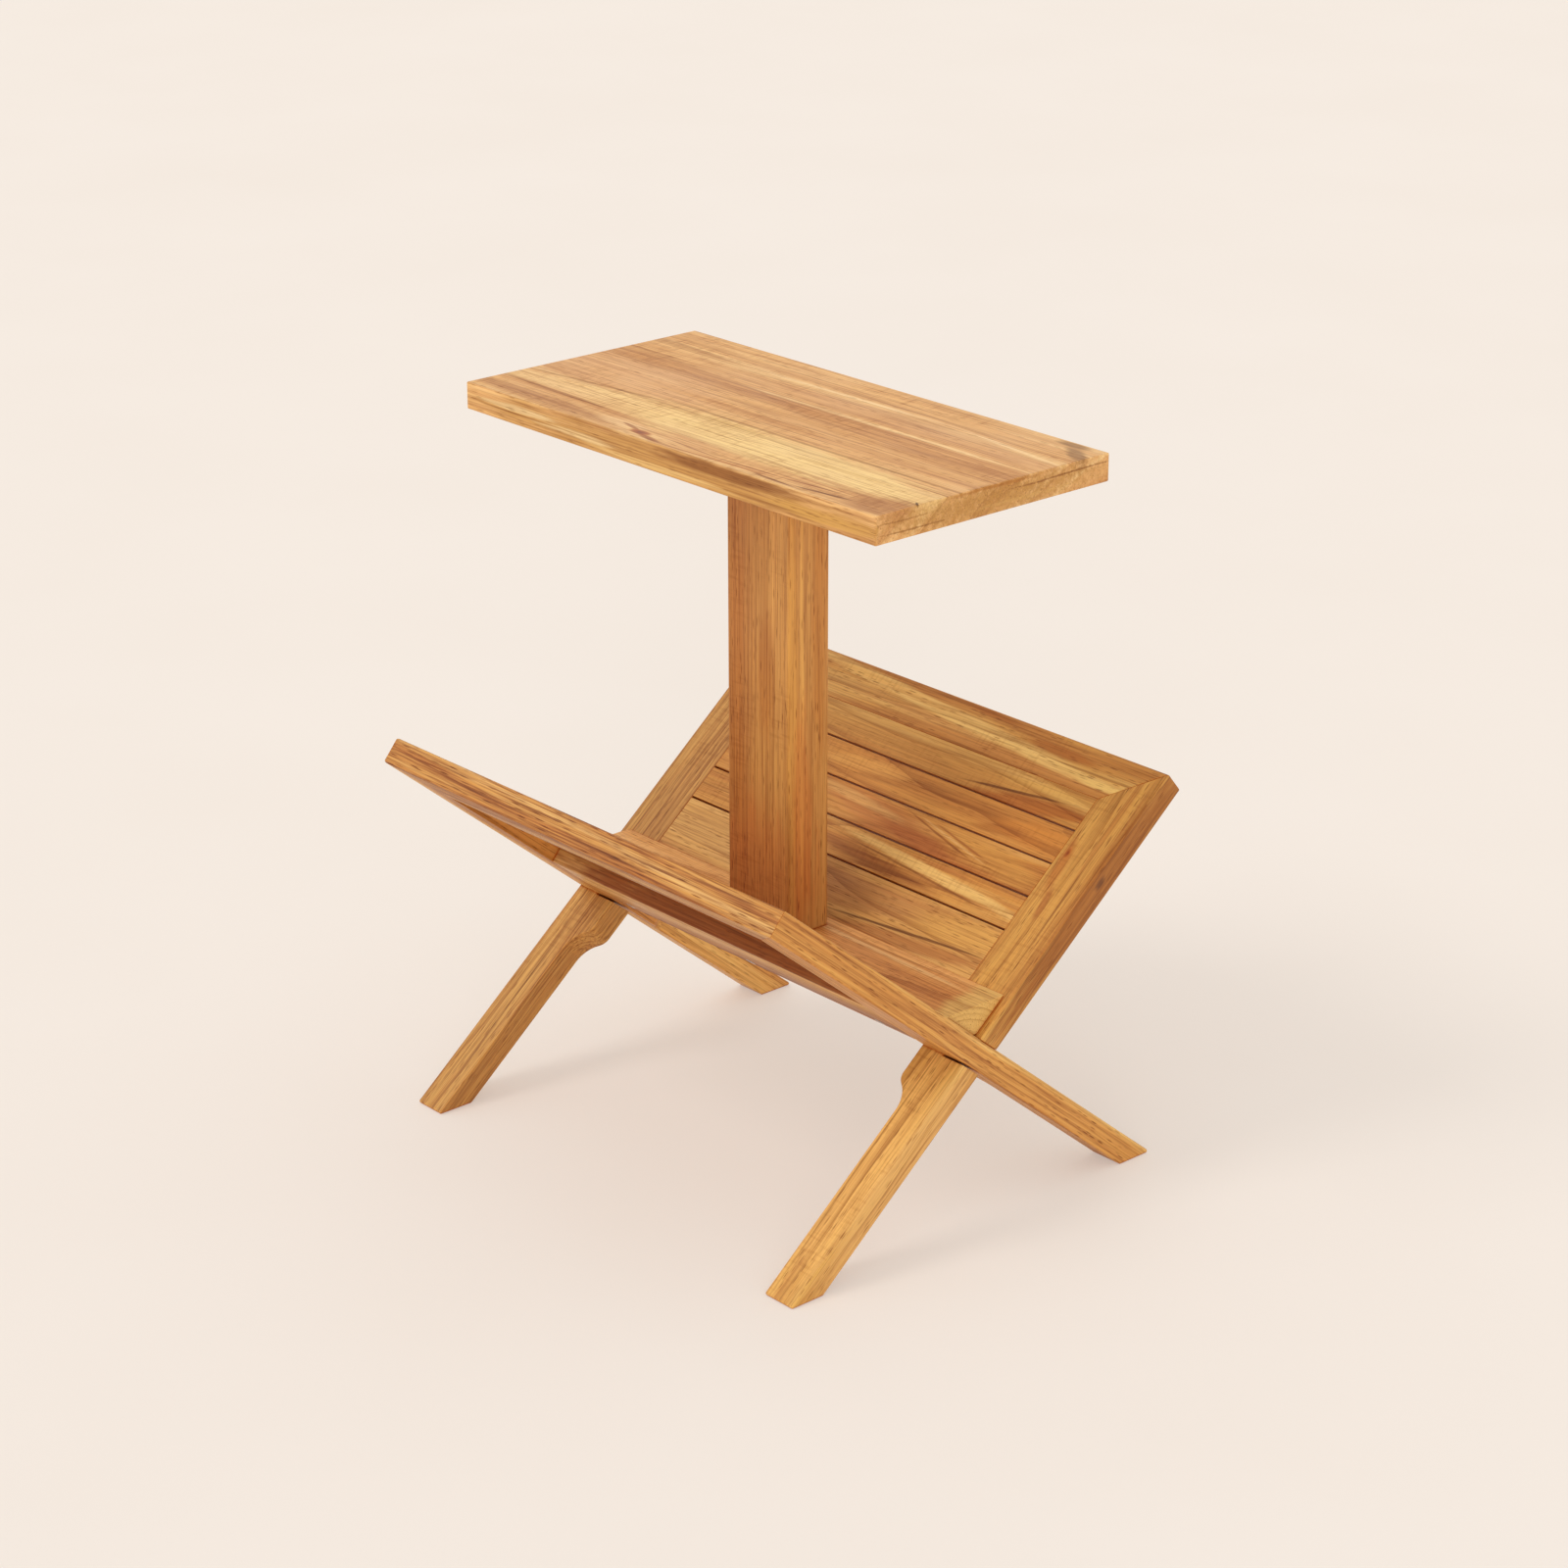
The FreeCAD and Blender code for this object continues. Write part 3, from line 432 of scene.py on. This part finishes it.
# The rear frame: its inside faces the viewer
rearSlat = dict(lay="rear rail", poreDepth=0.4, fibreDepth=0.65, ease=0.0003)
finishBoards({
    "rear_frame_top_rail": dict(
        lay="rear rail", sap="#E7BC6E", gold="#D2994D", heart="#C28440", rust="#A5682A", zone=16.0,
        runOut=(-3.0, 1.0), ease=0.0005, slide=True,
        bands=(
            ((60, -9, 9), (150, 7, 8), -2, "#CB8E4C", 0.6),
            ((13, 3, 9), (175, 5.5, 9), -3.9, "#F4CB7A", 0.85),
            ((150, -6, 9), (45, 2.5, 6), -3, "#EDC371", 0.7),
            ((110, 6, 9), (40, 4, 6), -2, "#A76127", 0.75),
            ((40, 14, 9), (30, 2.5, 6), -2, "#AC682A", 0.7),
            ((-60, 8, 9), (80, 3, 6), -3, "#DEA556", 0.6),
        )),
    "rear_frame_slat_1": dict(
        rearSlat, sap="#E1B265", gold="#CF984C", heart="#C08440", rust="#A5682A",
        runOut=(2.0, 0.5), zone=22.0,
        bands=(
            ((120, -8, 4), (62, 6.5, 10), 5.5, "#B06629", 0.85),
            ((93, -3.5, 4), (48, 1.1, 10), 6, "#6D3B16", 0.85),
            ((120, 6, 4), (45, 4, 10), 2, "#DDAB59", 0.6),
        )),
    "rear_frame_slat_2": dict(
        rearSlat, sap="#E6B161", gold="#D69749", heart="#C6853F", rust="#A8682A",
        runOut=(4.0, 0.5), zone=20.0,
        bands=(
            ((6, 2, 4), (55, 5, 10), 9, "#B67837", 0.6),
            ((-30, 4, 4), (50, 6, 10), 6, "#E1A656", 0.6),
            ((133, 1, 4), (36, 10, 10), 0, "#D48B3C", 0.7),
            ((105, -4, 4), (24, 4, 10), 8, "#AC682A", 0.6),
        )),
    "rear_frame_slat_3": dict(
        rearSlat, sap="#E0A85D", gold="#D09246", heart="#C17E3A", rust="#A66229",
        runOut=(-8.0, 0.5), zone=18.0, ringDepth=0.4,
        bands=(
            ((10, 0, 4), (62, 12, 10), -4, "#C67E42", 0.7),
            ((48, -7, 4), (42, 6, 10), -7, "#B46933", 0.75),
            ((118, 0, 4), (52, 12, 10), -6, "#D39849", 0.8),
            ((62, 3, 4), (40, 0.9, 10), -13, "#935021", 0.75),
            ((76, 3, 4), (38, 1.0, 10), -12, "#E5B46D", 0.7),
            ((84, 4, 4), (30, 1.0, 10), -12, "#9D5626", 0.7),
            ((-20, 5, 4), (50, 4, 10), -4, "#E5B46B", 0.6),
        )),
    "rear_frame_slat_4": dict(
        rearSlat, sap="#E6B668", gold="#D29649", heart="#BD7C3B", rust="#9E5D27",
        runOut=(-4.0, 0.5), zone=18.0,
        bands=(
            ((20, -5.5, 4), (66, 5, 10), -4, "#A06028", 0.8),
            ((82, 2.5, 4), (125, 4, 10), -4.5, "#F1C777", 0.85),
            ((130, 9, 4), (40, 2.5, 10), -4, "#D49444", 0.7),
            ((60, -1, 4), (80, 0.9, 10), -4.5, "#8D5627", 0.7),
        )),
    "rear_frame_bottom_rail": dict(
        lay="rear rail", sap="#EBBC71", gold="#D7A258", heart="#C38848", rust="#A86932", zone=24.0,
        runOut=(3.0, 0.5),
        bands=(
            ((135, 18, 9), (60, 11, 10), 4, "#DEA856", 0.75),
            # painted shadow: a greyish-brown patch where the post's shadow falls on the rail
            ((30, 14, 9), (70, 12, 10), 4, "#BE844B", 0.6),
            ((89, 3, 9), (78, 1.1, 10), 4.4, "#6D3C18", 0.85),
            ((93, -4, 9), (85, 5, 10), 4.4, "#AE6B35", 0.7),
            ((-110, 16, 9), (60, 12, 10), 1, "#D19F59", 0.6),
        )),
    "rear_frame_stile_right": dict(
        lay="rear stile", sap="#E8B868", gold="#D6A050", heart="#C68841", rust="#AE6F30", zone=16.0,
        runOut=(0.5, 0.4),
        bands=(
            ((90, 6, 4), (110, 11, 8), 0, "#D9A351", 0.6),
            ((128, 12, 4), (26, 4, 8), 3, "#B06528", 0.7),
            ((97, 5, 4), (14, 3, 8), 4, "#AE6830", 0.65),
            ((86, -7, 4), (60, 0.8, 6), 0, "#925B27", 0.7),
            ((130, -21, -5), (140, 6, 16), 0, "#A26226", 0.9),
            ((128, -21, -3), (7, 4, 3), 0, "#64371B", 0.8),
            ((-120, 0, 8), (110, 30, 12), 0, "#F0B968", 0.8),
            ((-110, 3, 4), (90, 0.9, 5), 0.5, "#B27A39", 0.75),
            ((-140, -6, 4), (60, 0.8, 5), -0.5, "#BA823E", 0.7),
            ((-115, -21, -5), (100, 5, 16), 0, "#E7B36B", 0.7),
        ),
        knots=(((137, 13, 3), (4.5, 1.8, 9), 1.5),)),
    # its curved side is painted darker: painted shade
    "rear_frame_stile_left": dict(
        lay="rear stile", sap="#E6B76D", gold="#D3A058", heart="#C08948", rust="#A66C34", zone=12.0,
        runOut=(0.4, 0.4), ring=2.6, ringDepth=1.0, fibreDepth=1.0, paintedSideShade=0.35,
        bands=(((-110, 4, 6), (80, 1.0, 8), 1.5, "#93612E", 0.7),)),
})

# The front frame: its top edge and its right side face the viewer
frontRail = dict(lay="front rail", sap="#DDAB68", gold="#C98E49", heart="#B8773A", rust="#9C5E2A")
frontSlat = dict(frontRail, ease=0.0003)
frontStile = dict(lay="front stile", sap="#F1C171", gold="#DC9F51", heart="#CD8C45", rust="#B47531",
                  zone=16.0)
finishBoards({
    "front_frame_top_rail": dict(
        frontRail, poreDepth=1.0, poreLength=20.0, ring=2.6, ringDepth=1.0, fibreDepth=1.5, zone=10.0,
        runOut=(1.5, 1.8), ease=0.0005, slide=True,
        bands=(
            ((150, 17, 4), (40, 4, 0.7), 0, "#8A4F22", 0.7),
            ((95, 17, -2), (50, 4, 0.8), 0, "#84491E", 0.75),
            ((40, 17, 3), (42, 4, 0.7), 0, "#8A4F22", 0.7),
            ((-20, 17, -4), (55, 4, 0.8), 0, "#804519", 0.75),
            ((-80, 17, 1), (45, 4, 0.7), 0, "#84491E", 0.75),
            ((-140, 17, 5), (40, 4, 0.8), 0, "#8A4F22", 0.7),
        )),
    "front_frame_slat_1": dict(frontSlat, balance=0.2, runOut=(2.0, 0.5)),
    "front_frame_slat_2": dict(frontSlat, balance=0.4, runOut=(-2.0, 0.5)),
    "front_frame_slat_3": dict(frontSlat, balance=0.1, runOut=(3.0, 0.5)),
    "front_frame_slat_4": dict(frontSlat, balance=0.3, runOut=(-3.0, 0.5)),
    "front_frame_bottom_rail": dict(
        frontRail, zone=24.0,
        bands=(((-30, 32, -4), (200, 2.5, 14), 0, "#8C4619", 0.9),)),      # painted shade: its upper edge, inside the recess, is painted dark brown
    "front_frame_stile_right": dict(frontStile, poreDepth=0.9, runOut=(0.5, 0.8)),
    "front_frame_stile_left": dict(frontStile, runOut=(-0.5, 0.6)),
})

# Splines and dowels: sawn and turned beech, paler and plainer than the teak, hidden in the joints
hiddenBeech = dict(wood="sawn beech", sap="#E6CBA4", gold="#DDBD92", heart="#D2AE82", rust="#C39A6C",
                   zone=12.0, ease=0.0003)
finishBoards({
    "post_head_dowels": dict(hiddenBeech, lay="post", wood="turned beech"),
    "post_foot_dowels": dict(hiddenBeech, lay="post", wood="turned beech"),
    "rear_frame_mitre_splines": dict(hiddenBeech, lay="rear rail"),
    "front_frame_mitre_splines": dict(hiddenBeech, lay="front rail"),
})
print("boards dressed")

# Screws: countersunk, with a cross slot, driven through each bottom rail into the rack's floor. Millimetres.
screwLook = dict(
    places=(-130.0, 0.0, 130.0), level=25.0, faceDepth=9.5, crossing=127.0,     # where they stand
    head=4.0, middle=0.06,                      # radius of the head's outermost and innermost ring
    slotReach=2.2, slotHalfWidth=0.55, slotDepth=1.5,
    slotSlope=0.25, slotRamp=0.7,               # how wide the slot's sides and ends slope
    shank=2.0, core=1.35, plainLength=10.0, length=29.9,
    tip=5.0, bluntShare=0.05,                   # length of the point, and the share of radius left at its end
    pitch=1.8, ridgeShare=0.28,                 # thread, and half its ridge's width as a share of the pitch
    around=72, headRings=30, shankRings=120,    # how finely they are drawn
    sharp=35.0,                                 # degrees, above which an edge stays crisp
)


# Zinc plated steel: a cool bluish shine broken by fine turning marks, duller and browner in the slot.
def zincSteel():
    material = bpy.data.materials.new("zinc plated steel, turned")
    material.use_nodes = True
    tree = material.node_tree
    tree.nodes.clear()
    place = put(tree, "TexCoord").outputs["Object"]
    inMillimetres = put(tree, "VectorMath", place, (1000, 1000, 1000), operation="MULTIPLY")
    # clouds in the plating are about 1.2 mm wide, turning marks about 0.2 mm
    clouds = put(tree, "TexNoise", {"Vector": inMillimetres, "Scale": 0.8, "Detail": 4.0, "Roughness": 0.65})
    plating = put(tree, "ValToRGB", clouds, ramp=((0.3, "#8F9496"), (0.5, "#B4B9BA"), (0.75, "#CFD1CC")))
    # darker and browner wherever the AO mask finds a hollow within 2 mm: in the slot and round the head
    openness = put(tree, "AmbientOcclusion", {"Distance": 0.002}, samples=4).outputs["AO"]
    hollowDarkening = put(tree, "MapRange", openness, 0.75, 0.35, 0.0, 0.7)
    colour = put(tree, "MixRGB", hollowDarkening, plating, linear("#4B3A2B"))
    roughness = put(tree, "MapRange", clouds, 0.3, 0.75, 0.5, 0.28)
    marks = put(tree, "TexNoise", {"Vector": inMillimetres, "Scale": 6.0, "Detail": 2.0})
    bump = put(tree, "Bump", {"Strength": 0.15, "Distance": 0.0002, "Height": marks})
    shader = put(tree, "BsdfPrincipled", {"Base Color": colour, "Metallic": 1.0, "Roughness": roughness,
                                          "Normal": bump})
    put(tree, "OutputMaterial", shader)
    return material


# A screw is rings of points, each with a depth. On the head's face a point sinks by the deeper of two slots,
# each a ramp down from its edge to its middle line. On the shank the radius drops to the core except on a
# ridge whose depth grows by one pitch per turn, and near the end it shrinks in proportion to the length left.
def screwPoints(look):
    angles = np.arange(look["around"]) / look["around"] * 2 * math.pi
    headRadii = np.linspace(look["middle"], look["head"], look["headRings"])[:, None]
    x, y = headRadii * np.cos(angles), headRadii * np.sin(angles)
    sunk = np.zeros_like(x)
    for along, across in ((x, y), (y, x)):
        wide = np.clip((look["slotHalfWidth"] - abs(across)) / look["slotSlope"], 0, 1)
        long = np.clip((look["slotReach"] - abs(along)) / look["slotRamp"], 0, 1)
        sunk = np.maximum(sunk, look["slotDepth"] * wide * long)
    depths = np.linspace(look["head"] - look["shank"], look["length"], look["shankRings"])[:, None]
    threaded = np.clip(depths - look["plainLength"], 0, 1)
    turnShare = (depths / look["pitch"] - angles / (2 * math.pi)) % 1
    ridge = np.clip(1 - abs(turnShare - 0.5) / look["ridgeShare"], 0, 1)
    taper = np.clip((look["length"] - depths) / look["tip"], look["bluntShare"], 1)
    radii = taper * (look["shank"] - (look["shank"] - look["core"]) * threaded * (1 - ridge))
    x = np.concatenate([x, radii * np.cos(angles)])
    y = np.concatenate([y, radii * np.sin(angles)])
    z = np.concatenate([sunk, np.broadcast_to(depths, radii.shape)])
    return np.stack([x, y, z], axis=-1)


def makeScrews(side, turn, look, plating):
    # three copies of the screw, sunk into the bottom rail's outer face; quads join each ring to the next
    rings = screwPoints(look)
    count, around = rings.shape[:2]
    upFrame, inward = (np.array(v) for v in boardLays[side + " stile"])
    index = np.arange(count * around).reshape(count, around)
    after = np.roll(index, -1, axis=1)
    walls = np.stack([index[:-1], after[:-1], after[1:], index[1:]], axis=-1).reshape(-1, 4)
    points, faces = [], []
    for copy, place in enumerate(look["places"]):
        flat = rings.reshape(-1, 3) + (place, look["level"], -look["faceDepth"])
        world = flat[:, :1] * (turn, 0, 0) + flat[:, 1:2] * upFrame + flat[:, 2:] * inward
        points.append((world + (0, 0, look["crossing"])) / 1000)
        first = copy * index.size
        faces += (walls + first).tolist() + [(index[0, ::-1] + first).tolist(), (index[-1] + first).tolist()]
    mesh = bpy.data.meshes.new(side + "_cross_slot_screws")
    mesh.from_pydata(np.concatenate(points).tolist(), [], faces)
    piece = bpy.data.objects.new(mesh.name, mesh)
    bpy.context.scene.collection.objects.link(piece)
    mesh.materials.append(plating)
    mesh.shade_smooth()
    mesh.set_sharp_from_angle(angle=math.radians(look["sharp"]))
    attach(piece, "root")
    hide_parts(side + "_floor_screws")


plated = zincSteel()
makeScrews("rear", 1, screwLook, plated)
makeScrews("front", -1, screwLook, plated)
print("screws made")

# Stage: a pale floor, a soft key from the front left, a low fill from the front right and an even sky
stageLook = dict(
    floor="#F6ECE2", mottle="#F3E8DD", floorSize=14.0,
    plainShare=0.42,                                        # how much of the floor shows unlit
    skyStrength=0.82, lampAngle=20.0,
    keyStrength=0.66, keyFrom=(-0.30, -0.85, 1.0),
    fillStrength=0.75, fillFrom=(0.8, -0.75, 0.22),
)


def directly(tree):
    # 1 where the camera sees a surface, also mirrored or through glass, 0 for the light that it gives
    path = put(tree, "LightPath").outputs
    mirrored = put(tree, "Math", path["Is Glossy Ray"], path["Is Transmission Ray"], operation="MAXIMUM")
    return put(tree, "Math", path["Is Camera Ray"], mirrored, operation="MAXIMUM")


def floorMaterial():
    # matt painted board: even and pale, with the faintest mottling in patches of a third of a metre
    # part of it shows unlit, so shadows stay faint
    material = bpy.data.materials.new("matt painted floor")
    material.use_nodes = True
    tree = material.node_tree
    tree.nodes.clear()
    place = put(tree, "TexCoord").outputs["Object"]
    mottle = put(tree, "TexNoise", {"Vector": place, "Scale": 3.0, "Detail": 3.0})
    colour = put(tree, "MixRGB", mottle, linear(stageLook["floor"]), linear(stageLook["mottle"]))
    matt = put(tree, "BsdfPrincipled", {"Base Color": colour, "Roughness": 0.9, "Specular IOR Level": 0.1})
    plain = put(tree, "Emission", colour, 1.0)
    share = put(tree, "Math", directly(tree), stageLook["plainShare"], operation="MULTIPLY")
    put(tree, "OutputMaterial", put(tree, "MixShader", share, matt, plain))
    return material


half = stageLook["floorSize"] / 2
floorMesh = bpy.data.meshes.new("floor")
floorCorners = [(-half, -half, 0), (half, -half, 0), (half, half, 0), (-half, half, 0)]
floorMesh.from_pydata(floorCorners, [], [(0, 1, 2, 3)])
floor = bpy.data.objects.new("floor", floorMesh)
bpy.context.scene.collection.objects.link(floor)
floorMesh.materials.append(floorMaterial())

for name in ("key", "fill"):
    lamp = bpy.data.lights.new(name, "SUN")
    lamp.energy = stageLook[name + "Strength"]
    lamp.angle = math.radians(stageLook["lampAngle"])
    holder = bpy.data.objects.new(name, lamp)
    holder.rotation_euler = Vector(stageLook[name + "From"]).to_track_quat("Z", "Y").to_euler()
    holder.visible_glossy = name == "key"       # the low fill leaves no glare on the top
    bpy.context.scene.collection.objects.link(holder)

# The sky lights the table evenly, and shows to the camera in the floor's own tone
world = bpy.data.worlds.new("sky")
world.use_nodes = True
world.node_tree.nodes.clear()
even = put(world.node_tree, "Background", (1, 1, 1, 1), stageLook["skyStrength"])
shown = put(world.node_tree, "Background", linear(stageLook["floor"]), 1.0)
put(world.node_tree, "OutputWorld", put(world.node_tree, "MixShader", directly(world.node_tree), even, shown))
bpy.context.scene.world = world
print("stage and light set")

# Camera: where the photograph was taken from, worked out from the top's corners and the feet
cameraLook = dict(place=(1.7985, -1.5976, 1.2119), azimuth=48.29, elevation=21.57, lens=87.14, sensor=36.0)
camera = bpy.data.cameras.new("camera")
camera.lens = cameraLook["lens"]
camera.sensor_width = cameraLook["sensor"]
viewer = bpy.data.objects.new("camera", camera)
viewer.location = cameraLook["place"]
tilt = math.radians(90 - cameraLook["elevation"])
viewer.rotation_euler = Euler((tilt, 0, math.radians(cameraLook["azimuth"])))
bpy.context.scene.collection.objects.link(viewer)
bpy.context.scene.camera = viewer
bpy.context.scene.view_settings.view_transform = "Standard"
